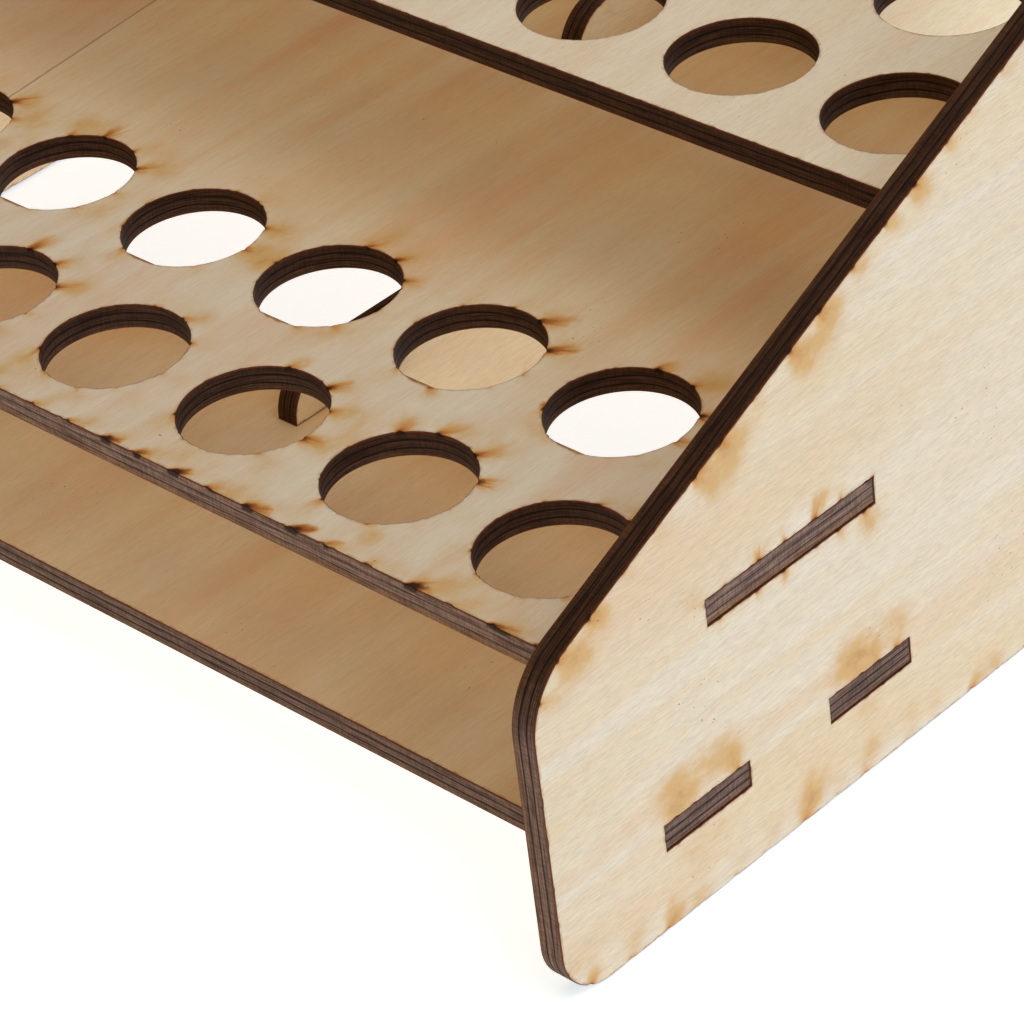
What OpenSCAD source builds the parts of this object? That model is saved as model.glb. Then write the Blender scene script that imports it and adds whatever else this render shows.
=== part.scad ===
// Paint rack organizer: a slotted plywood stand that holds small round
// bottles in three stepped tiers. Two side panels carry a plain base shelf
// and three shelves with holes, and two upright supports cross the shelves
// behind the front bottles. A bottle goes down through a hole and stands on
// the board below.
// Origin: centre of the footprint, on the ground. +X to the right, +Y to the
// back, +Z up. All sizes are in millimetres.

/* [Boards] */
// Thickness of every board
ply = 4.8; // [3:0.1:6]
// Gap left on each side of a tab or of a crossing board
joint_gap = 0.1; // [0.05:0.05:0.2]

/* [Bottle holes] */
// Diameter of a bottle hole
hole_d = 26; // [20:0.5:27]
// Distance between neighbouring holes of a row
hole_pitch = 34.4; // [33.5:0.1:40]
// Distance from the front row to the rear row of a tier
row_gap = 34.7; // [30:0.1:40]
// Number of holes in a front row; the rear row has one less
front_holes = 11; // [9:2:15]
// Distance from the last front hole to the side panel
end_margin = 24; // [20:0.5:30]

/* [Tiers] */
// Height of the base shelf's top above the ground
foot_h = 20; // [12:0.5:30]
// Height from one board's top to the next board's top
tier_rise = 35.5; // [30:0.5:45]
// Distance from the front edge of one tier to that of the next
tier_run = 88.5; // [85:0.5:100]
// Distance from a shelf's front edge to its front row
front_margin = 20.5; // [18:0.5:30]
// Distance from a shelf's rear row to its rear edge
rear_margin = 24.8; // [22:0.1:30]
// How much shorter the base shelf is than the tier above it
base_trim = 1.2; // [0:0.1:3]

/* [Side panels] */
// Distance the side panels stand out in front of the shelves
side_lip = 15.1; // [12:0.1:25]
// Height at which the sloping top edge would meet the front edge
side_front_h = 61.2; // [58:0.1:66]
// Angle of the sloping top edge to the ground
side_slope = 23.75; // [22.5:0.25:26]
// Radius of the two lower corners
foot_r = 10; // [2:0.5:14]
// Radius of the two upper corners
brow_r = 15; // [5:0.5:18]

/* [Tabs] */
// Length of the two tabs on each end of a short shelf
short_tab = 20; // [12:0.5:22]
// Distance from a short shelf's edges to its tabs
short_inset = 10; // [8:0.5:14]
// Length of the two tabs on each end of a long shelf
long_tab = 40; // [25:0.5:45]
// Distance from a long shelf's edges to its tabs
long_inset = 24; // [15:0.5:30]
// Depth of a tab's end below the side panel's outer face
tab_recess = 0.2; // [0:0.05:0.5]

/* [Supports] */
// Number of hole pitches from the middle of the rack to each support
support_col = 2; // [1:1:3]
// Distance from the side panels' front edge to the first step
step_start = 70.4; // [66:0.1:74]
// Distance from one step to the next
step_run = 80; // [76:0.5:84]
// Distance from the side panels' front edge to the last step
last_step = 247.3; // [244:0.1:252]
// Height of a step above the board that it crosses
step_h = 10.2; // [8:0.1:14]
// Radius of a step's front corner
step_r = 10; // [3:0.5:10]

/* [Hidden] */
smooth = 96;
tier_count = 3;
front_cols = [for (i = [0:front_holes - 1]) i - (front_holes - 1) / 2];
rear_cols = [for (i = [0:front_holes - 2]) i - (front_holes - 2) / 2];
inner_w = (front_holes - 1) * hole_pitch + 2 * end_margin;
tier_depth = front_margin + row_gap + rear_margin;
long_depth = tier_run + tier_depth;
base_depth = tier_depth - base_trim;
rack_depth = 2 * side_lip + (tier_count - 1) * tier_run + tier_depth;
rack_h = side_front_h + rack_depth * tan(side_slope);
front_y = -rack_depth / 2;
wood = [0.87, 0.77, 0.61];
support_wood = [0.80, 0.66, 0.48];

// Boards from the ground up: front edge and depth, both along Y
shelf_front = [side_lip, side_lip, side_lip + tier_run, side_lip + 2 * tier_run];
shelf_depth = [base_depth, long_depth, long_depth, tier_depth];
step_front = [step_start, step_start + step_run, step_start + 2 * step_run, last_step];

function shelf_top(level) = foot_h + level * tier_rise;
function shelf_rear(level) = shelf_front[level] + shelf_depth[level];
function is_long(level) = shelf_depth[level] > tier_depth;
function tab_len(level) = is_long(level) ? long_tab : short_tab;
function tab_inset(level) = is_long(level) ? long_inset : short_inset;
// Start of each tab, measured from the board's front edge
function tab_starts(level) =
    let (depth = max(shelf_depth[level], tier_depth))
    [tab_inset(level), depth - tab_inset(level) - tab_len(level)];
// Where a shelf's notch ends and the support's notch begins
function lap_y(level) = (step_front[level] + shelf_rear(level)) / 2;

// Rounded corner b between a and c: how far the arc reaches along each edge
function toward(from, to) = (to - from) / norm(to - from);
function half_angle(a, b, c) = acos(toward(b, a) * toward(b, c)) / 2;
function arc_reach(a, b, c, r) = r / tan(half_angle(a, b, c));
function arc_centre(a, b, c, r) =
    let (mid = toward(b, a) + toward(b, c))
    b + mid / norm(mid) * r / sin(half_angle(a, b, c));
function prev_of(pts, i) = pts[(i + len(pts) - 1) % len(pts)];
function next_of(pts, i) = pts[(i + 1) % len(pts)];
function corner_ends(pts, i, r) =
    let (a = prev_of(pts, i), b = pts[i], c = next_of(pts, i))
    r > 0
        ? [b + toward(b, a) * arc_reach(a, b, c, r), b + toward(b, c) * arc_reach(a, b, c, r)]
        : [b];

// Flat outline with the outer corners rounded to the given radii
module rounded_outline(pts, radii) {
    polygon([for (i = [0:len(pts) - 1]) each corner_ends(pts, i, radii[i])]);
    for (i = [0:len(pts) - 1])
        if (radii[i] > 0)
            translate(arc_centre(prev_of(pts, i), pts[i], next_of(pts, i), radii[i]))
                circle(r = radii[i], $fn = smooth);
}

// Stands a flat Y-Z outline upright as a board whose inner side is at x
module upright(x) {
    translate([x, front_y, 0])
        rotate([90, 0, 90])
            linear_extrude(ply)
                children();
}

// Slots for the tabs of one shelf, drawn on the side panel's outline
module tab_slots(level) {
    for (start = tab_starts(level))
        translate([
            shelf_front[level] + start - joint_gap,
            shelf_top(level) - ply - joint_gap
        ])
            square([tab_len(level) + 2 * joint_gap, ply + 2 * joint_gap]);
}

module side_outline() {
    corners = [[0, 0], [rack_depth, 0], [rack_depth, rack_h], [0, side_front_h]];
    difference() {
        rounded_outline(corners, [foot_r, foot_r, brow_r, brow_r]);
        for (level = [0:tier_count])
            tab_slots(level);
    }
}

// Two staggered rows of holes, measured from the shelf's front edge
module hole_rows() {
    for (col = front_cols)
        translate([col * hole_pitch, front_margin])
            circle(d = hole_d, $fn = smooth);
    for (col = rear_cols)
        translate([col * hole_pitch, front_margin + row_gap])
            circle(d = hole_d, $fn = smooth);
}

module shelf_outline(level) {
    tab_out = ply - tab_recess;
    lap = lap_y(level) - shelf_front[level] - joint_gap;
    difference() {
        union() {
            translate([-inner_w / 2, 0])
                square([inner_w, shelf_depth[level]]);
            for (start = tab_starts(level))
                translate([-inner_w / 2 - tab_out, start])
                    square([inner_w + 2 * tab_out, tab_len(level)]);
        }
        // Notches in the rear edge that the two supports slide into
        for (side = [-1, 1])
            translate([side * support_col * hole_pitch - ply / 2 - joint_gap, lap])
                square([ply + 2 * joint_gap, shelf_depth[level]]);
    }
}

module shelf(level, with_holes) {
    translate([0, front_y + shelf_front[level], shelf_top(level) - ply])
        linear_extrude(ply)
            difference() {
                shelf_outline(level);
                if (with_holes)
                    hole_rows();
            }
}

// Stepped board with one rounded step over each shelf
module support_outline() {
    corners = concat(
        [[step_front[0], 0], [rack_depth, 0]],
        [[rack_depth, shelf_top(tier_count) + step_h]],
        [for (level = [tier_count:-1:1]) each [
            [step_front[level], shelf_top(level) + step_h],
            [step_front[level], shelf_top(level - 1) + step_h]
        ]],
        [[step_front[0], shelf_top(0) + step_h]]
    );
    radii = concat(
        [0, 0, step_r],
        [for (level = [tier_count:-1:1]) each [step_r, 0]],
        [step_r]
    );
    difference() {
        rounded_outline(corners, radii);
        // Notches in the front edges that the shelves slide into
        for (level = [0:tier_count])
            translate([step_front[level] - 1, shelf_top(level) - ply - joint_gap])
                square([
                    lap_y(level) - step_front[level] + 1 + joint_gap,
                    ply + 2 * joint_gap
                ]);
    }
}

module side_left() {
    color(wood)
        upright(-inner_w / 2 - ply)
            side_outline();
}

module side_right() {
    color(wood)
        upright(inner_w / 2)
            side_outline();
}

module base_shelf() {
    color(wood)
        shelf(0, false);
}

module lower_shelf() {
    color(wood)
        shelf(1, true);
}

module middle_shelf() {
    color(wood)
        shelf(2, true);
}

module top_shelf() {
    color(wood)
        shelf(3, true);
}

module support_left() {
    color(support_wood)
        upright(-support_col * hole_pitch - ply / 2)
            support_outline();
}

module support_right() {
    color(support_wood)
        upright(support_col * hole_pitch - ply / 2)
            support_outline();
}

side_left();
side_right();
base_shelf();
lower_shelf();
middle_shelf();
top_shelf();
support_left();
support_right();
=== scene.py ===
"""Looks of the paint rack organizer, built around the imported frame.

Every board is laser-cut plywood. Its CAD node gives the outline. The board is
meshed again from that outline, finely enough to carry soft arrises, the plies
of the cut edge, nicks, and scorch marks, which the wood's shader reads as
attributes. Lengths inside a board are in millimetres, the scene is in metres.
"""

from collections import Counter
import math

import bpy
import numpy as np
from mathutils import Matrix, Vector, geometry, kdtree


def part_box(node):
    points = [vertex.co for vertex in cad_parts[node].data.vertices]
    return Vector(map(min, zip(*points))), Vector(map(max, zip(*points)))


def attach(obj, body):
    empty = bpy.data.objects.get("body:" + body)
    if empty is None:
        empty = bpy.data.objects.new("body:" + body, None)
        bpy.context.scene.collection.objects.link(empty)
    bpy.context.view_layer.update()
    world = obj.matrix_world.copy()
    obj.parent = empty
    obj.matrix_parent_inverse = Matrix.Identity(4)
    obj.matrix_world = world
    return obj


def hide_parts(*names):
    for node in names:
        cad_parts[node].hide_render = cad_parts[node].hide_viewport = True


MM = 0.001
SEED = 7411

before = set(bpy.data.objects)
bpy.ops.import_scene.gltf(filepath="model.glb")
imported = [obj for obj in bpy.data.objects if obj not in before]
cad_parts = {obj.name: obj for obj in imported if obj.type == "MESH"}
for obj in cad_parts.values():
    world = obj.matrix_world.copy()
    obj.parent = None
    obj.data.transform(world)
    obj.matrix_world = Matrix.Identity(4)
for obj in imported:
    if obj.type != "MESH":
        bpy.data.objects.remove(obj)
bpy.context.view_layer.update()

# Mesh of a board, in millimetres where nothing else is said
X, Z = 0, 2  # the axis across a board's plies
PLY = round((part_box("base_shelf")[1][2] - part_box("base_shelf")[0][2]) / MM, 2)
EDGE_STEP = 0.9  # between points along a cut edge
FACE_STEP = 1.25  # between points of the outer face, near a cut edge
BACK_STEP = 2.2  # the same on the inner face
FINE_BAND = 5  # how far from a cut edge the points are that close
HALF_BAND = 11  # how far from a cut edge they are twice as far apart
ARRIS = 0.12  # bevel where a face meets a cut edge
GROOVE = 0.05  # depth of a glue line
GROOVE_HALF = 0.16  # half of its width
GLUE_LINES = (PLY / 3, 2 * PLY / 3)
RIM_INSET = 0.45  # of the face's second row of points
WELD = 0.01  # points of the CAD mesh closer than this are one
SHORTEST = 0.25  # shortest side kept of a CAD outline
ARC_STEP = 4  # longest side of a CAD outline that can be a step of an arc
ARC_TURN = (0.5, 30)  # degrees between two such steps
SHARP = 32  # degrees between faces from which the arris between them stays sharp

# Scorch marks, in millimetres where nothing else is said
NICK_DEPTH = 0.3  # of the deepest nick in a cut edge
NICK_FLOOR = 1.5  # how far down a cut edge a nick goes
FLAME_FLOOR = 1.2  # how far down a cut edge a flame's char goes
FLAME_AHEAD = 2.5  # from a nick to the middle of its flame
FLAME_REACH = (5.5, 7)  # from its middle, where a flame starts to fade and where it is gone
FLAME_APART = (2.2, 3.8)  # how much nearer it is than the next, where it is gone and where it is whole
HAZE_BACK = 1.2  # how far a haze reaches back from its start
FAINTEST = 0.06  # strength below which a mark is left out
INNER_SHARE = 0.35  # strength of the inner face's marks, as a share of the outer face's
SHORT_SLOT = 60  # a slot with a shorter outline holds a short tab

# Veneer, in millimetres
GRAIN_FIELD = 4000  # each board's grain starts somewhere in a field of this size
EDGE_FIELD = 900  # the same for the pattern along a cut edge
JOINT_LINE = ((-13.1, -59.0), (-17.1, -19.0))  # X and Y of two points of the lower shelf's joint
REAR_SHADE_SPAN = (-85, -25)  # Y where the painted warm shade on the lower shelf's rear starts, and where it is strongest


# ---------------------------------------------------------------- outlines

def flat_loops(node, axis):
    """Closed outlines of a board's flat face, wood on the left, as (u, v) arrays.

    They come in the same order, from the same corner, however the mesh is numbered.
    """
    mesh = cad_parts[node].data
    points = np.array([v.co for v in mesh.vertices]) / MM
    level = points[:, axis].max()
    tree = point_tree(points)
    ids = [min(hit[1] for hit in tree.find_range(p, WELD)) for p in points]
    uses = Counter()
    for face in mesh.polygons:
        ring = [ids[i] for i in face.vertices]
        if np.abs(points[ring, axis] - level).max() > WELD / 10:
            continue
        uses.update(zip(ring, ring[1:] + ring[:1]))
    border = [pair for pair in uses if pair[0] != pair[1] and uses[pair] > uses[pair[::-1]]]
    after = dict(sorted(border))
    uv = [(axis + 1) % 3, (axis + 2) % 3]
    loops = []
    while after:
        start = min(after)
        ring = [start]
        while after[ring[-1]] != start:
            ring.append(after[ring[-1]])
        for i in ring:
            del after[i]
        ring = points[ring][:, uv]
        ring = ring[np.linalg.norm(np.roll(ring, -1, 0) - ring, axis=1) > SHORTEST]
        first = np.lexsort(np.round(ring.T, 2))[0]
        loops.append(np.roll(ring, -first, 0))
    return sorted(loops, key=lambda ring: (-round(len_of(ring)), *np.round(ring[0], 1)))


def point_tree(points):
    """Search tree of an array of 3-D points."""
    tree = kdtree.KDTree(len(points))
    for i, p in enumerate(points):
        tree.insert(p, i)
    tree.balance()
    return tree


def unit(vector):
    """The vector at length one."""
    return vector / np.linalg.norm(vector)


def len_of(ring):
    """Length of a closed outline."""
    return np.linalg.norm(np.roll(ring, -1, 0) - ring, axis=1).sum()


def circle_centre(a, b, c):
    """Centre of the circle through three points."""
    rows = 2 * np.array([b - a, c - a])
    return np.linalg.solve(rows, np.array([b @ b - a @ a, c @ c - a @ a]))


def round_steps(ring):
    """For each side of the outline, the centre of the arc that it is a step of, or None."""
    sides = np.roll(ring, -1, 0) - ring
    size = np.linalg.norm(sides, axis=1)
    heading = np.arctan2(sides[:, 1], sides[:, 0])
    turn = np.abs((heading - np.roll(heading, 1) + math.pi) % (2 * math.pi) - math.pi)
    bent = (turn > math.radians(ARC_TURN[0])) & (turn < math.radians(ARC_TURN[1]))
    arc = bent & np.roll(bent, -1) & (size < ARC_STEP)
    count = len(ring)
    centres = []
    for i in range(count):
        if not arc[i]:
            centres.append(None)
            continue
        first = i if arc[(i + 1) % count] else i - 1
        three = [ring[(first + k) % count] for k in range(3)]
        centres.append(circle_centre(*three))
    return centres


def fine_outline(ring, step):
    """The same outline with a point every step, its arcs made round again."""
    points = []
    for i, centre in enumerate(round_steps(ring)):
        a, b = ring[i], ring[(i + 1) % len(ring)]
        parts = max(1, math.ceil(np.linalg.norm(b - a) / step))
        for k in range(parts):
            if centre is None:
                points.append(a + (b - a) * k / parts)
                continue
            start, end = a - centre, b - centre
            angle = math.atan2(start[0] * end[1] - start[1] * end[0], start @ end) * k / parts
            turned = [
                start[0] * math.cos(angle) - start[1] * math.sin(angle),
                start[0] * math.sin(angle) + start[1] * math.cos(angle),
            ]
            points.append(centre + turned)
    return np.array(points)


def inward(ring):
    """At each point of an outline, the mitred direction into the wood."""
    sides = np.roll(ring, -1, 0) - ring
    sides /= np.linalg.norm(sides, axis=1)[:, None]
    left = np.stack([-sides[:, 1], sides[:, 0]], 1)
    before = np.roll(left, 1, 0)
    return (left + before) / np.maximum(0.8, 1 + (left * before).sum(1))[:, None]


class Outline:
    """One closed outline of a board, ready for meshing."""

    def __init__(self, ring, step):
        self.uv = fine_outline(ring, step)
        self.into = inward(self.uv)
        sides = np.linalg.norm(np.roll(self.uv, -1, 0) - self.uv, axis=1)
        self.run = np.concatenate([[0], np.cumsum(sides)])
        self.nick = np.zeros(len(self.uv))

    def at(self, distance):
        """Index, point and direction into the wood at a distance along the outline."""
        i = int(np.searchsorted(self.run, distance % self.run[-1], "right")) - 1
        i = min(i, len(self.uv) - 1)
        return i, self.uv[i], unit(self.into[i])


# ---------------------------------------------------------------- scorch marks

class Marks:
    """Scorch marks of one face: soft hazes, and flames that start at a nick in a cut edge."""

    def __init__(self):
        self.hazes = []
        self.flames = []

    def add_haze(self, start, way, reach, width, strength):
        """Adds a plume that spreads from start in the direction way."""
        self.hazes.append([*start, *way, reach, width, strength])

    def add_flame(self, start, way, power):
        """Adds a flame that starts from a nick and points in the direction way."""
        self.flames.append([*start, *way, power])

    def haze(self, points):
        """How browned each point is."""
        scorch = np.zeros(len(points))
        for x, y, wx, wy, reach, width, strength in self.hazes:
            d = points - (x, y)
            near = np.abs(d).max(1) < 2.2 * reach + 2
            d = d[near]
            along = d @ (wx, wy)
            across = d @ (-wy, wx)
            spread = width * (0.5 + 0.5 * np.clip(along / reach, 0, 1.4))
            fall = (along / np.where(along > 0, reach, HAZE_BACK)) ** 2
            plume = strength * np.exp(-fall - (across / spread) ** 2)
            scorch[near] = 1 - (1 - scorch[near]) * (1 - np.clip(plume, 0, 0.98))
        return scorch

    def flame(self, points):
        """Distances along and across the nearest flame, and its power, at each point.

        The power fades away half-way to the next flame, where the nearest one changes.
        """
        if len(self.flames) < 2:
            return np.zeros((3, len(points)))
        flames = np.array(self.flames)
        middles = flames[:, :2] + FLAME_AHEAD * flames[:, 2:4]
        tree = point_tree(np.pad(middles, ((0, 0), (0, 1))))
        found = [tree.find_n((p[0], p[1], 0), 2) for p in points]
        mine = flames[[hits[0][1] for hits in found]]
        first, second = np.array([[hits[0][2], hits[1][2]] for hits in found]).T
        d = points - mine[:, :2]
        along = (d * mine[:, 2:4]).sum(1)
        across = d[:, 1] * mine[:, 2] - d[:, 0] * mine[:, 3]
        alone = np.interp(second - first, FLAME_APART, (0, 1))
        close = np.interp(first, FLAME_REACH, (1, 0))
        return np.array([along, across, mine[:, 4] * alone * close])


class Heat:
    """How an outline is scorched.

    power gives a mark's strength from the direction into the wood, haze is the size of a haze
    and glow its strength, spacing is the distance between marks, drift is the way in which they
    lean, and wide is a haze's width over its length.
    """

    def __init__(self, power, haze, glow=0.4, spacing=9.0, drift=(0.5, 0.15), wide=0.6):
        self.power = power
        self.haze = haze
        self.glow = glow
        self.spacing = spacing
        self.drift = drift
        self.wide = wide


def scorch_outline(outline, marks, heat, rng, share=1.0):
    """Adds marks all along an outline, each with a nick, a flame and one or two hazes."""
    count = max(2, round(outline.run[-1] / heat.spacing))
    for k in range(count):
        place = (k + 0.5 + 0.35 * (rng.random() - 0.5)) * outline.run[-1] / count
        luck = rng.random(8)
        i, start, into = outline.at(place)
        strength = share * heat.power(into) * (0.25 + luck[0] ** 1.3)
        if strength < FAINTEST:
            continue
        lean = np.array(heat.drift) * (0.7 + 0.6 * luck[1]) + (luck[2:4] - 0.5) * 0.5
        way = unit(into * 0.6 + lean)
        outline.nick[i] = max(outline.nick[i], NICK_DEPTH * min(1, 0.35 + strength))
        marks.add_flame(start, way, min(1.2, strength))
        size = heat.haze * (0.6 + 0.7 * luck[4])
        width = size * heat.wide
        glow = heat.glow * min(1.1, 2 * strength)
        marks.add_haze(start + way * 0.15 * size, way, size, width * (0.7 + 0.6 * luck[5]), glow)
        if luck[6] > 0.4:
            way = unit(way + into * (luck[7] - 0.3))
            smudge = glow * (0.4 + 3 * max(0, luck[6] - 0.75))
            marks.add_haze(start + way * 0.8 * size, way, size, width, smudge)


# ---------------------------------------------------------------- board mesh

def wall_rows():
    """(depth below the outer face, distance set in) of each ring of a cut edge."""
    rows = [(0, ARRIS), (ARRIS, 0)]
    for depth in GLUE_LINES:
        rows += [(depth - GROOVE_HALF, 0), (depth, GROOVE), (depth + GROOVE_HALF, 0)]
    return rows + [(PLY - ARRIS, 0), (PLY, ARRIS)]


def rows_inside(loops, v, u):
    """Which of the points u on the line at height v lie in the wood."""
    cuts = []
    for ring in loops:
        nxt = np.roll(ring, -1, 0)
        hit = (ring[:, 1] > v) != (nxt[:, 1] > v)
        a, b = ring[hit], nxt[hit]
        cuts.append(a[:, 0] + (v - a[:, 1]) / (b[:, 1] - a[:, 1]) * (b[:, 0] - a[:, 0]))
    cuts = np.sort(np.concatenate(cuts))
    return np.searchsorted(cuts, u) % 2 == 1


def inside(loops, points):
    """Which of the points lie in the wood."""
    odd = np.zeros(len(points), bool)
    for ring in loops:
        nxt = np.roll(ring, -1, 0)
        for a, b in zip(ring, nxt):
            hit = (a[1] > points[:, 1]) != (b[1] > points[:, 1])
            if hit.any():
                u = a[0] + (points[hit, 1] - a[1]) / (b[1] - a[1]) * (b[0] - a[0])
                odd[hit] ^= points[hit, 0] < u
    return odd


def edge_distance(loops, points):
    """Distance from each point to the nearest cut edge."""
    ring_points = np.concatenate(loops)
    after = np.concatenate([np.roll(ring, -1, 0) for ring in loops])
    before = np.concatenate([np.roll(ring, 1, 0) for ring in loops])
    tree = point_tree(np.pad(ring_points, ((0, 0), (0, 1))))
    found = np.array([tree.find((p[0], p[1], 0))[1] for p in points], int)
    a = ring_points[found]
    best = np.linalg.norm(points - a, axis=1)
    for other in (after, before):
        side = other[found] - a
        share = ((points - a) * side).sum(1) / (side ** 2).sum(1)
        foot = a + side * np.clip(share, 0, 1)[:, None]
        best = np.minimum(best, np.linalg.norm(points - foot, axis=1))
    return best


def scattered(loops, spacing):
    """Points inside the wood, close together near the cut edges and far apart elsewhere."""
    low = loops[0].min(0)
    high = loops[0].max(0)
    rise = spacing * math.sqrt(3) / 2
    kept = []
    for row in range(1, int((high[1] - low[1]) / rise)):
        v = low[1] + row * rise
        columns = np.arange(int((high[0] - low[0]) / spacing) + 1)
        u = low[0] + (columns + 0.5 * (row % 2)) * spacing
        good = rows_inside(loops, v, u)
        # How many times the grid can be halved and keep each point
        coarse = np.zeros(len(u), int)
        if row % 2 == 0:
            coarse += (columns + (row // 2) % 2) % 2 == 0
        if row % 4 == 0:
            coarse += (columns + 2 * ((row // 4) % 2)) % 4 == 0
        kept.append(np.stack([u, np.full(len(u), v), coarse], 1)[good])
    grid = np.concatenate(kept)
    gap = edge_distance(loops, grid[:, :2])
    half = (gap < HALF_BAND) & (grid[:, 2] > 0)
    wanted = (gap < FINE_BAND) | half | (grid[:, 2] > 1)
    return grid[wanted & (gap > 0.75 * spacing), :2]


def flat_face(loops, spacing):
    """Triangles over a board's flat face. Returns its points, the loops' points first."""
    border = np.concatenate(loops)
    ring_edges = []
    base = 0
    for ring in loops:
        ring_edges += [(base + i, base + (i + 1) % len(ring)) for i in range(len(ring))]
        base += len(ring)
    rim = np.concatenate([ring + inward(ring) * RIM_INSET for ring in loops])
    rim = rim[edge_distance(loops, rim) > RIM_INSET - 0.05]
    points = np.concatenate([border, rim, scattered(loops, spacing)])
    vectors = [Vector(p) for p in points]
    _, _, faces, sources, _, _ = geometry.delaunay_2d_cdt(vectors, ring_edges, [], 1, 1e-7, True)
    source = np.array([given[0] if given else -1 for given in sources])
    tris = source[np.array([face for face in faces if len(face) == 3])]
    return points, tris[in_wood(loops, points, tris)]


def in_wood(loops, points, tris):
    """Which triangles lie in the wood. Only those with all corners on the outlines can lie outside."""
    size = np.concatenate([np.full(len(ring), len(ring)) for ring in loops])
    which = np.concatenate([np.full(len(ring), k) for k, ring in enumerate(loops)])
    keep = np.ones(len(tris), bool)
    doubtful = (tris < len(which)).all(1)
    some = tris[doubtful]
    one_loop = (which[some] == which[some[:, :1]]).all(1)
    steps = (np.roll(some, -1, 1) - some) % size[some[:, :1]]
    with_loop = steps.sum(1) == size[some[:, 0]]
    keep[doubtful] = np.where(one_loop, with_loop, inside(loops, points[some].mean(1)))
    return keep


class Parts:
    """Collects a mesh: points with their values, and faces with their UVs and material slots."""

    def __init__(self):
        self.count = 0
        self.points = []
        self.values = {name: [] for name in ("scorch", "along", "across", "power", "rim", "burn")}
        self.faces = []
        self.corner_uv = []
        self.slots = []

    def add_points(self, points, scorch, flame, rim, burn):
        """Adds points and returns their numbers. A value is one number, or one for each point."""
        self.points.append(points)
        for column, value in zip(self.values.values(), (scorch, *flame, rim, burn)):
            column.append(np.broadcast_to(value, len(points)))
        self.count += len(points)
        return np.arange(self.count - len(points), self.count)

    def add_faces(self, faces, corner_uv, slot):
        """Adds faces, with a UV for each of their corners."""
        self.faces.append(faces)
        self.corner_uv.append(corner_uv)
        self.slots.append(np.full(len(faces), slot))

    def flip(self):
        """Turns all faces over."""
        self.faces = [faces[:, ::-1] for faces in self.faces]
        self.corner_uv = [uv[:, ::-1] for uv in self.corner_uv]

    def make_object(self, name):
        """Mesh object with sharp arrises, the UV map board and one attribute for each value."""
        mesh = bpy.data.meshes.new(name)
        faces = [face for group in self.faces for face in group.tolist()]
        mesh.from_pydata(np.concatenate(self.points).tolist(), [], faces)
        mesh.polygons.foreach_set("material_index", np.concatenate(self.slots).astype(np.int32))
        layer = mesh.uv_layers.new(name="board")
        corner_uv = np.concatenate([uv.reshape(-1, 2) for uv in self.corner_uv])
        layer.data.foreach_set("uv", corner_uv.astype(np.float32).ravel())
        mesh.polygons.foreach_set("use_smooth", np.ones(len(faces), bool))
        mesh.set_sharp_from_angle(angle=math.radians(SHARP))
        mesh.update()
        for value, parts in self.values.items():
            add_values(mesh, value, np.concatenate(parts))
        obj = bpy.data.objects.new(name, mesh)
        bpy.context.scene.collection.objects.link(obj)
        return obj


class Board:
    """A plywood board: its mesh, and the values that its materials read."""

    def __init__(self, node, axis, outer, seed):
        self.node = node
        self.axis = axis
        self.outer = outer
        self.rng = np.random.default_rng(SEED + seed)
        self.outlines = [Outline(ring, EDGE_STEP) for ring in flat_loops(node, axis)]
        self.marks = (Marks(), Marks())  # of the outer and of the inner face
        low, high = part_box(node)
        self.level = (high if outer > 0 else low)[axis] / MM
        self.shift = self.rng.random(2) * GRAIN_FIELD

    def place(self, uv, depth):
        """World coordinates of points of the board."""
        world = np.zeros((len(uv), 3))
        world[:, (self.axis + 1) % 3] = uv[:, 0]
        world[:, (self.axis + 2) % 3] = uv[:, 1]
        world[:, self.axis] = self.level - self.outer * depth
        return world * MM

    def ring(self, outline, depth, inset):
        """One ring of a cut edge, with its nicks."""
        fade = max(0, 1 - depth / NICK_FLOOR)
        return outline.uv + outline.into * (inset + outline.nick * fade)[:, None]

    def build(self, burn):
        """Makes the mesh object. burn gives how charred a cut edge is, by direction and outline."""
        parts = Parts()
        rows = wall_rows()
        rings = [[self.ring(outline, *row) for row in rows] for outline in self.outlines]
        front = self.add_face(parts, [r[0] for r in rings], 0)
        back = self.add_face(parts, [r[-1] for r in rings], 1)
        used = 0
        for k, (outline, ring_rows) in enumerate(zip(self.outlines, rings)):
            own = slice(used, used + len(outline.uv))
            used = own.stop
            charred = np.array([burn(unit(n), k) for n in outline.into])
            middle = list(zip(rows, ring_rows))[1:-1]
            between = [self.add_ring(parts, ring, depth, charred) for (depth, _), ring in middle]
            ids = [front[own], *between, back[own]]
            start = self.rng.random() * EDGE_FIELD
            parts.add_faces(*wall_quads(ids, rows, outline.run + start), 1)
        if self.outer < 0:
            parts.flip()
        return parts.make_object(self.node + "_ply")

    def add_face(self, parts, loops, side):
        """Meshes the outer face, side 0, or the inner one, side 1. Returns its points' numbers."""
        uv, tris = flat_face(loops, (FACE_STEP, BACK_STEP)[side])
        marks = self.marks[side]
        ids = parts.add_points(self.place(uv, (0, PLY)[side]), marks.haze(uv), marks.flame(uv),
                               edge_distance(loops, uv), 1)
        if side:
            tris = tris[:, ::-1]
        parts.add_faces(ids[tris], self.grain(uv, side)[tris], 0)
        return ids

    def add_ring(self, parts, ring, depth, charred):
        """Adds the points of one ring of a cut edge, and returns their numbers."""
        along, across, power = self.marks[0].flame(ring)
        power = power * max(0, 1 - depth / FLAME_FLOOR)
        return parts.add_points(self.place(ring, depth), 0, (along, across, power), 0, charred)

    def grain(self, uv, side):
        """Coordinates across and along the grain, which runs along Y."""
        across = uv[:, 1] if self.axis == X else uv[:, 0]
        along = uv[:, 0] if self.axis == X else uv[:, 1]
        return np.stack([across, along], 1) + self.shift * (1 + side)


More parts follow.
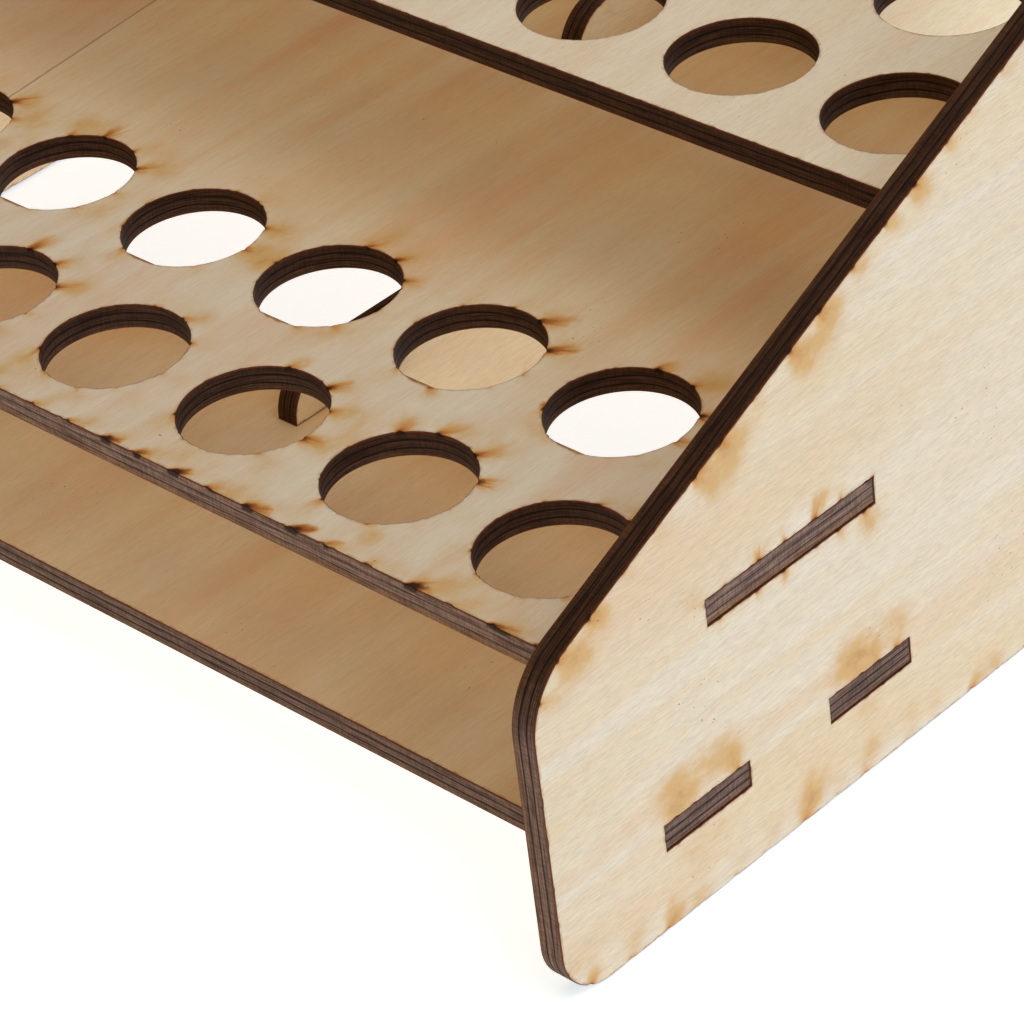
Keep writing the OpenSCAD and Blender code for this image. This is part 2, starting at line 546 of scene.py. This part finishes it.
def wall_quads(ids, rows, run):
    """Quads of a cut edge, with (distance along, depth) as their UVs."""
    quads = []
    uvs = []
    for above, below, (top, _), (low, _) in zip(ids, ids[1:], rows, rows[1:]):
        after, below_after = np.roll(above, -1), np.roll(below, -1)
        quads.append(np.stack([below, below_after, after, above], 1))
        level = np.full((len(above), 4), (low, low, top, top))
        along = np.stack([run[:-1], run[1:], run[1:], run[:-1]], 1)
        uvs.append(np.stack([along, level], 2))
    return np.concatenate(quads), np.concatenate(uvs)


def add_values(mesh, name, values):
    """Stores one number per point for the materials."""
    attribute = mesh.attributes.new(name, "FLOAT", "POINT")
    attribute.data.foreach_set("value", values.astype(np.float32))


# ---------------------------------------------------------------- shader nodes

class Shader:
    """Builds one node material."""

    def __init__(self, name):
        self.material = bpy.data.materials.new(name)
        self.material.use_nodes = True
        self.tree = self.material.node_tree
        self.tree.nodes.clear()

    def node(self, kind, settings=None, **inputs):
        """Adds a node. An underscore in an input's name stands for a space."""
        made = self.tree.nodes.new(kind)
        for key, value in (settings or {}).items():
            setattr(made, key, value)
        for key, value in inputs.items():
            self.feed(made.inputs[key.replace("_", " ")], value)
        return made

    def feed(self, socket, value):
        """Links another node's output to an input, or sets the input's value."""
        if isinstance(value, bpy.types.NodeSocket):
            self.tree.links.new(value, socket)
        else:
            socket.default_value = value

    def math(self, operation, *values):
        """Result of one sum, product and the like."""
        made = self.node("ShaderNodeMath", {"operation": operation})
        for socket, value in zip(made.inputs, values):
            self.feed(socket, value)
        return made.outputs[0]

    def step(self, value, low, high, to_low=0.0, to_high=1.0):
        """Smooth step of value between low and high."""
        made = self.node("ShaderNodeMapRange", {"interpolation_type": "SMOOTHSTEP"})
        for socket, number in zip(made.inputs, (value, low, high, to_low, to_high)):
            self.feed(socket, number)
        return made.outputs[0]

    def mix(self, factor, first, second, blend="MIX"):
        """Colour between the first, at factor 0, and the second, at factor 1."""
        made = self.node("ShaderNodeMix", {"data_type": "RGBA", "blend_type": blend})
        colours = [s for s in made.inputs if s.type == "RGBA"]
        self.feed(made.inputs[0], factor)
        self.feed(colours[0], first)
        self.feed(colours[1], second)
        return next(s for s in made.outputs if s.type == "RGBA")

    def decay(self, value):
        """e to the minus value."""
        return self.math("POWER", math.exp(-1), value)

    def attribute(self, name):
        """One of the values stored in the mesh."""
        return self.node("ShaderNodeAttribute", {"attribute_name": name}).outputs["Fac"]

    def uv(self):
        """The mesh's UV map, in millimetres."""
        return self.node("ShaderNodeUVMap", {"uv_map": "board"}).outputs["UV"]

    def noise(self, uv, size_u, size_v, detail=3.0, roughness=0.5, distortion=0.0, offset=0.0):
        """Noise whose blotches are size_u by size_v millimetres. offset shifts it elsewhere."""
        scaled = self.node("ShaderNodeVectorMath", {"operation": "MULTIPLY_ADD"})
        self.feed(scaled.inputs[0], uv)
        self.feed(scaled.inputs[1], (1 / size_u, 1 / size_v, 0))
        self.feed(scaled.inputs[2], (offset, offset * 1.7, offset * 0.6))
        made = self.node("ShaderNodeTexNoise", {"noise_dimensions": "3D"},
                         Vector=scaled.outputs[0], Scale=1.0, Detail=detail,
                         Roughness=roughness, Distortion=distortion)
        return made.outputs[0]

    def finish(self, colour, roughness, height, distance, strength, specular):
        """Adds the surface, with a bump from height, and returns the material."""
        bump = self.node("ShaderNodeBump", Height=height, Distance=distance, Strength=strength)
        shader = self.node("ShaderNodeBsdfPrincipled", Base_Color=colour, Roughness=roughness,
                           Specular_IOR_Level=specular, Normal=bump.outputs[0])
        out = self.node("ShaderNodeOutputMaterial")
        self.tree.links.new(shader.outputs[0], out.inputs[0])
        return self.material


def srgb(red, green, blue):
    """Linear colour from 0-255 screen values."""
    return tuple(((c / 255 + 0.055) / 1.055) ** 2.4 for c in (red, green, blue)) + (1.0,)


def flame_glow(s, uv):
    """Tongues that fan out from the nearest nick, and the charred root that they start from."""
    along = s.attribute("along")
    across = s.attribute("across")
    swirl = s.math("SUBTRACT", s.noise(uv, 1.6, 1.6, 3, 0.6, 0.0, 8.8), 0.5)
    jitter = s.math("SUBTRACT", s.noise(uv, 0.5, 0.9, 3, 0.6, 0.0, 12.4), 0.5)
    ahead = s.math("MAXIMUM", s.math("ADD", along, s.math("MULTIPLY", swirl, 1.2)), 0.0)
    aside = s.math("ADD", across, s.math("ADD", swirl, s.math("MULTIPLY", jitter, 0.5)))
    spread = s.math("ADD", s.math("MULTIPLY", ahead, 0.32), 0.85)
    slant = s.math("DIVIDE", aside, spread)
    parts = s.node("ShaderNodeSeparateXYZ", Vector=uv)
    place = s.math("MULTIPLY", parts.outputs["X"], 0.09)
    fan = s.node("ShaderNodeCombineXYZ", X=s.math("MULTIPLY", slant, 1.1), Y=place,
                 Z=s.math("MULTIPLY", along, 0.25))
    tongue = s.noise(fan.outputs[0], 1, 1, 2, 0.6, 0.0, 21.0)
    power = s.attribute("power")
    length = s.step(tongue, 0.3, 0.7, 0.8, s.math("ADD", s.math("MULTIPLY", power, 3.0), 1.0))
    square = s.math("MULTIPLY", slant, slant)
    glow = s.decay(s.math("ADD", square, s.math("DIVIDE", ahead, length)))
    depth = s.math("ADD", s.math("MULTIPLY", power, 2.3), 0.4)
    root = s.decay(s.math("ADD", square, s.math("DIVIDE", ahead, depth)))
    return s.math("MULTIPLY", power, glow), s.math("MULTIPLY", power, root)


def nick_char(s, uv):
    """Small charred spot around each nick."""
    along = s.attribute("along")
    across = s.attribute("across")
    square = s.math("ADD", s.math("MULTIPLY", along, along), s.math("MULTIPLY", across, across))
    ragged = s.math("SUBTRACT", s.noise(uv, 0.6, 0.6, 2, 0.6, 0.0, 30.2), 0.5)
    far = s.math("ADD", s.math("SQRT", square), ragged)
    strong = s.step(s.attribute("power"), 0.1, 0.4, 0.0, 0.85)
    return s.math("MULTIPLY", s.step(far, 0.25, 0.8, 1.0, 0.0), strong)


def streaked(s, uv, cream, tan, rosy, contrast):
    """Bare veneer: streaks and bands along the grain."""
    streak = s.noise(uv, 8, 150, 4, 0.55, 0.15)
    broad = s.noise(uv, 34, 160, 2, 0.5, 0.2, 3.1)
    blush = s.noise(uv, 15, 110, 3, 0.6, 0.3, 7.7)
    lines = s.noise(uv, 1.1, 60, 2, 0.5, 0.0, 1.9)
    colour = s.mix(s.step(streak, 0.36, 0.66, 0.0, contrast), cream, tan)
    colour = s.mix(s.step(broad, 0.42, 0.7, 0.0, 0.3 * contrast), colour, tan)
    colour = s.mix(s.step(blush, 0.47, 0.72, 0.0, 0.85 * contrast), colour, rosy)
    return s.mix(s.step(lines, 0.56, 0.7, 0.0, 0.18), colour, rosy)


def jointed(s, uv, colour, rosy):
    """Two strips of veneer with a wandering joint line, and warm shade painted onto both towards the
    rear, under the middle shelf.
    """
    # Painted shade: the veneer grows warmer and darker towards the rear, under the middle shelf
    colour = s.mix(s.attribute("rear_shade"), colour, (1, 0.88, 0.66, 1), "MULTIPLY")
    wander = s.math("MULTIPLY", s.math("SUBTRACT", s.noise(uv, 3, 12, 2, 0.6), 0.5), 0.5)
    gap = s.math("ADD", s.attribute("joint"), wander)
    colour = s.mix(s.step(gap, -0.1, 0.1, 0.3, 0.0), colour, rosy)
    line = s.step(s.math("ABSOLUTE", gap), 0.06, 0.4, 0.6, 0.0)
    return s.mix(line, colour, srgb(134, 74, 42))


def browned(s, uv, colour):
    """Soft hazes, and a browned rim along every cut."""
    ragged = s.noise(uv, 2.6, 3.6, 3, 0.6, 0.0, 5.5)
    scorch = s.math("MULTIPLY", s.attribute("scorch"), s.step(ragged, 0.25, 0.75, 0.65, 1.25))
    colour = s.mix(s.step(scorch, 0.02, 0.45, 0.0, 0.85), colour, srgb(207, 158, 90))
    colour = s.mix(s.step(scorch, 0.4, 0.95, 0.0, 0.8), colour, srgb(166, 106, 48))
    rim = s.attribute("rim")
    worn = s.step(s.noise(uv, 1.5, 1.5, 3, 0.6, 0.0, 2.2), 0.4, 0.65, 0.05, 0.55)
    halo = s.math("MULTIPLY", s.step(rim, 0.05, 0.7, 1.0, 0.0), worn)
    colour = s.mix(halo, colour, srgb(156, 100, 50))
    return s.mix(s.step(rim, 0.0, 0.14, 0.85, 0.0), colour, srgb(84, 42, 18))


def burnt(s, uv, colour):
    """Flames, from amber tips to charred roots and nicks."""
    flame, root = flame_glow(s, uv)
    colour = s.mix(s.step(flame, 0.03, 0.24, 0.0, 0.8), colour, srgb(204, 140, 68))
    colour = s.mix(s.step(flame, 0.18, 0.46, 0.0, 0.9), colour, srgb(162, 88, 34))
    colour = s.mix(s.step(root, 0.36, 0.78), colour, srgb(58, 26, 12))
    return s.mix(nick_char(s, uv), colour, srgb(78, 36, 14))


def specked(s, uv, colour):
    """Tiny dark specks in a few patches."""
    speck = s.step(s.noise(uv, 0.5, 0.8, 1, 0.5, 0.0, 14.1), 0.74, 0.78)
    patch = s.step(s.noise(uv, 17, 23, 1, 0.5, 0.0, 16.7), 0.6, 0.66, 0.0, 0.8)
    return s.mix(s.math("MULTIPLY", speck, patch), colour, srgb(84, 50, 28))


def face_wood(name, cream, tan, rosy, contrast, fibres, joint=False):
    """Veneer. contrast is the strength of its streaks, and fibres that of its fine fibres."""
    s = Shader(name)
    uv = s.uv()
    fine = s.noise(uv, 0.35, 3.5, 3, 0.65, 0.0, 4.3)
    fibre = s.noise(uv, 0.2, 2.2, 2, 0.7, 0.0, 9.2)
    colour = streaked(s, uv, cream, tan, rosy, contrast)
    if joint:
        colour = jointed(s, uv, colour, rosy)
    colour = s.mix(s.step(fine, 0.35, 0.72, 0.0, 0.2 * fibres), colour, srgb(160, 124, 90))
    colour = s.mix(s.step(fibre, 0.4, 0.72, 0.0, 0.16 * fibres), colour, srgb(130, 98, 66))
    colour = specked(s, uv, burnt(s, uv, browned(s, uv, colour)))
    roughness = s.step(fine, 0.2, 0.8, 0.62, 0.5)
    height = s.math("ADD", s.math("MULTIPLY", fine, 0.6), s.math("MULTIPLY", fibre, 0.4))
    return s.finish(colour, roughness, height, 0.00005, 0.12, 0.3)


def plies(s, uv, depth, grey):
    """Three plies between dark glue lines. The less burnt an edge is, the paler its wood."""
    burn = s.attribute("burn")
    pale = s.mix(s.step(grey, 0.3, 0.7), srgb(92, 62, 54), srgb(182, 150, 134))
    black = s.mix(s.step(grey, 0.3, 0.72), srgb(26, 12, 6), srgb(76, 44, 24))
    colour = s.mix(burn, pale, black)
    wobble = s.noise(uv, 9, 40, 2, 0.5, 0.0, 2.7)
    wavy = s.math("ADD", depth, s.math("MULTIPLY", s.math("SUBTRACT", wobble, 0.5), 0.5))
    # Painted light from below: the lowest ply of the less burnt edges is lighter amber
    amber = s.mix(s.step(grey, 0.3, 0.7), srgb(96, 58, 30), srgb(160, 116, 70))
    lower = s.math("MULTIPLY", s.step(wavy, 3.2, 3.5), s.step(burn, 0.25, 0.5, 0.5, 0.08))
    colour = s.mix(lower, colour, amber)
    comb = s.noise(uv, 0.33, 2.5, 2, 0.6, 0.0, 6.1)
    colour = s.mix(s.step(comb, 0.42, 0.62, 0.0, 0.3), colour, srgb(30, 14, 7))
    strong = s.step(burn, 0.25, 0.5, 0.6, 0.9)
    for line in GLUE_LINES:
        off = s.math("ABSOLUTE", s.math("SUBTRACT", wavy, line))
        glue = s.math("MULTIPLY", s.step(off, 0.05, 0.28, 1.0, 0.0), strong)
        colour = s.mix(glue, colour, srgb(20, 9, 5))
    height = s.math("ADD", s.math("MULTIPLY", grey, 0.5), s.math("MULTIPLY", comb, 0.5))
    return colour, height


def cut_wood(name):
    """Laser-cut edge: plies, browned arrises, and char below each nick."""
    s = Shader(name)
    uv = s.uv()
    parts = s.node("ShaderNodeSeparateXYZ", Vector=uv)
    depth = parts.outputs["Y"]
    grey = s.noise(uv, 7, 0.2, 4, 0.65, 0.0, 1.1)
    colour, height = plies(s, uv, depth, grey)
    from_arris = s.math("MINIMUM", depth, s.math("SUBTRACT", PLY, depth))
    ragged = s.noise(uv, 0.8, 0.5, 3, 0.6, 0.0, 3.3)
    near = s.math("DIVIDE", from_arris, s.step(ragged, 0.3, 0.7, 0.14, 0.42))
    colour = s.mix(s.step(near, 0.5, 1.2, 0.85, 0.0), colour, srgb(104, 50, 20))
    aside = s.math("ABSOLUTE", s.attribute("across"))
    char = s.math("MULTIPLY", s.step(aside, 0.4, 1.1, 1.0, 0.0), s.attribute("power"))
    colour = s.mix(s.step(char, 0.1, 0.6, 0.0, 0.85), colour, srgb(24, 10, 5))
    return s.finish(colour, s.step(grey, 0.2, 0.8, 0.6, 0.8), height, 0.00025, 0.6, 0.12)


# ---------------------------------------------------------------- the rack

def add_board(node, axis, outer, seed, materials, heats, burn):
    """One board: scorched along its outlines, meshed, and standing in for its CAD node.

    outer is 1 if its outer face looks along the axis, and -1 if it looks the other way.
    """
    board = Board(node, axis, outer, seed)
    for k, outline in enumerate(board.outlines):
        heat = heats(outline, k)
        scorch_outline(outline, board.marks[0], heat, board.rng)
        scorch_outline(outline, board.marks[1], heat, board.rng, INNER_SHARE)
    obj = board.build(burn)
    for material in materials:
        obj.data.materials.append(material)
    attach(obj, "root")
    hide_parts(node)
    return obj


def side_heats(outline, k):
    """Scorching of a side panel: its outer edge, its short slots, its long slots."""
    if k == 0:
        return Heat(lambda n: 0.2 + 0.2 * max(0, n[1]) + 0.3 * max(0, -n[1]),
                    haze=4.8, glow=0.62, spacing=8.5, wide=0.9)
    if outline.run[-1] < SHORT_SLOT:
        return Heat(lambda n: 0.1 + 0.3 * max(0, n[1]),
                    haze=5.3, glow=0.6, spacing=5, drift=(-0.1, 0.2), wide=1.05)
    return Heat(lambda n: 0.3 + 0.2 * abs(n[1]),
                haze=3.6, glow=0.42, spacing=7, drift=(0.2, 0.1), wide=0.9)


def support_heats(outline, k):
    """Scorching of a support, the same all over."""
    return Heat(lambda n: 0.14, haze=3.5)


def shelf_heats(edge, holes):
    """Scorching of a shelf: its outer edge, its holes."""
    def heats(outline, k):
        if k == 0:
            return Heat(lambda n: edge * (0.55 + 0.8 * max(0, n[1])),
                        haze=5.5, glow=0.38 * edge, drift=(1.6, 0.0))
        return Heat(lambda n: holes * (0.55 + 0.75 * max(0, n @ (0.6, 0.8))),
                    haze=5.0, glow=0.52 * holes, spacing=8.5, wide=0.95)
    return heats


def side_burn(n, k):
    """How charred a side panel's cut edge is: most where it faces up."""
    if n[1] >= 0.3:
        return 0.5
    return 0.4 + 0.6 * max(0.0, -n[1]) ** 0.5


def shelf_burn(edge, hole=0.9):
    """Pale front edge and tab ends, dark hole walls."""
    return lambda n, k: hole if k else edge


def support_burn(n, k):
    """How charred a support's cut edge is."""
    return 0.9


def add_strips(obj):
    """Where two strips of the lower shelf's veneer meet, and how much painted warm shade each point
    gets.
    """
    points = np.array([v.co for v in obj.data.vertices])[:, :2] / MM
    start, end = np.array(JOINT_LINE)
    way = unit(end - start)
    d = points - start
    add_values(obj.data, "joint", d[:, 0] * way[1] - d[:, 1] * way[0])
    # Painted shade: none at the front, full at the rear under the middle shelf
    add_values(obj.data, "rear_shade", np.interp(points[:, 1], REAR_SHADE_SPAN, (0, 1)))


def build_rack():
    """All eight boards."""
    side = face_wood("side_veneer", srgb(232, 216, 194), srgb(229, 203, 165), srgb(228, 196, 161),
                     contrast=0.85, fibres=1.0)
    shelf = face_wood("shelf_veneer", srgb(234, 208, 172), srgb(228, 189, 145), srgb(225, 177, 135),
                      contrast=0.6, fibres=0.6)
    # The lower shelf's veneer is a paler, cooler copy of the shelf veneer: painted sheen on its front
    strips = face_wood("strip_veneer", srgb(226, 209, 187), srgb(220, 190, 159), srgb(222, 174, 141),
                       contrast=0.72, fibres=0.6, joint=True)
    # The middle and top shelves get a paler copy of the shelf veneer: painted sheen
    upper = face_wood("upper_veneer", srgb(240, 221, 196), srgb(236, 209, 177), srgb(232, 199, 167),
                      contrast=0.6, fibres=0.7)
    # The supports' veneer is a brightened copy: painted light on their faces, which sit in shade under
    # the shelves
    support = face_wood("support_veneer", srgb(252, 234, 199), srgb(250, 223, 181), srgb(247, 212, 170),
                        contrast=0.6, fibres=0.7)
    edge = cut_wood("cut_edge")
    for name, outer, seed in (("side_left", -1, 1), ("side_right", 1, 2)):
        add_board(name, X, outer, seed, (side, edge), side_heats, side_burn)
    # Veneer, heat of the outer edge and of the holes, and how charred the outer edge is
    shelves = (
        ("base_shelf", shelf, 0.05, 0.05, 0.5),
        ("lower_shelf", strips, 1.0, 0.7, 0.3),
        ("middle_shelf", upper, 0.08, 0.1, 0.92),
        ("top_shelf", upper, 0.45, 0.4, 0.5),
    )
    for seed, (name, veneer, rim_heat, hole_heat, burn) in enumerate(shelves, 3):
        board = add_board(name, Z, 1, seed, (veneer, edge),
                          shelf_heats(rim_heat, hole_heat), shelf_burn(burn))
        if veneer is strips:
            add_strips(board)
    for name, seed in (("support_left", 7), ("support_right", 8)):
        add_board(name, X, 1, seed, (support, edge), support_heats, support_burn)


# ---------------------------------------------------------------- stage

def add_floor():
    """Pale floor just below the rack, bright enough to come out white."""
    mesh = bpy.data.meshes.new("floor")
    half, below = 6.0, 0.0004
    corners = [(x * half, y * half, -below) for x, y in ((-1, -1), (1, -1), (1, 1), (-1, 1))]
    mesh.from_pydata(corners, [], [(0, 1, 2, 3)])
    floor = bpy.data.objects.new("floor", mesh)
    bpy.context.scene.collection.objects.link(floor)
    material = bpy.data.materials.new("floor_white")
    material.use_nodes = True
    shader = material.node_tree.nodes["Principled BSDF"]
    shader.inputs["Base Color"].default_value = (0.8, 0.8, 0.8, 1)
    shader.inputs["Roughness"].default_value = 0.9
    shader.inputs["Emission Color"].default_value = (0.82, 0.92, 1, 1)
    shader.inputs["Emission Strength"].default_value = 0.74
    mesh.materials.append(material)


def add_light(name, azimuth, elevation, colour):
    """Square softbox aimed at the rack. Azimuth 0 is the front and 90 the right."""
    size, distance = 1.8, 2.2
    aim = Vector((0.1, 0, 0.06))
    turn, rise = math.radians(azimuth), math.radians(elevation)
    away = Vector((math.sin(turn) * math.cos(rise), -math.cos(turn) * math.cos(rise), math.sin(rise)))
    light = bpy.data.lights.new(name, "AREA")
    light.size = size
    light.energy = max(colour)
    light.color = [part / light.energy for part in colour]
    obj = bpy.data.objects.new(name, light)
    obj.location = aim + away * distance
    obj.rotation_mode = "QUATERNION"
    obj.rotation_quaternion = away.to_track_quat("Z", "Y")
    bpy.context.scene.collection.objects.link(obj)


def add_lights():
    """Soft daylight from above, the right and the back, and a weak warm fill from the front."""
    world = bpy.data.worlds.new("studio")
    world.use_nodes = True
    background = world.node_tree.nodes["Background"]
    background.inputs["Color"].default_value = (1, 0.85, 0.7, 1)
    background.inputs["Strength"].default_value = 0.02
    bpy.context.scene.world = world
    add_light("right", 90, 45, (17.1, 18.1, 17.7))
    add_light("right_back", 135, 60, (12.8, 16.3, 20.5))
    add_light("right_back_low", 130, 35, (4.2, 4.7, 7))
    add_light("top", 20, 84, (13, 12.1, 8.6))
    add_light("fill", 0, 20, (12, 6.8, 0.5))


def add_camera():
    """Long lens, looking down at the right end of the two lower tiers."""
    place = Vector((0.5911, -0.4976, 0.4601))
    azimuth, elevation, roll = (math.radians(a) for a in (47.67, 34.73, -7.38))
    ahead = Vector((-math.sin(azimuth) * math.cos(elevation),
                    math.cos(azimuth) * math.cos(elevation), -math.sin(elevation)))
    level = ahead.cross((0, 0, 1)).normalized()
    right = level * math.cos(roll) + level.cross(ahead) * math.sin(roll)
    up = right.cross(ahead)
    data = bpy.data.cameras.new("camera")
    data.sensor_width = 36
    data.lens = 156.94
    data.clip_start, data.clip_end = 0.02, 40
    camera = bpy.data.objects.new("camera", data)
    turned = Matrix((right, up, -ahead)).transposed().to_4x4()
    camera.matrix_world = Matrix.Translation(place) @ turned
    bpy.context.scene.collection.objects.link(camera)
    bpy.context.scene.camera = camera


add_camera()
add_floor()
add_lights()
build_rack()
bpy.context.scene.view_settings.view_transform = "Standard"
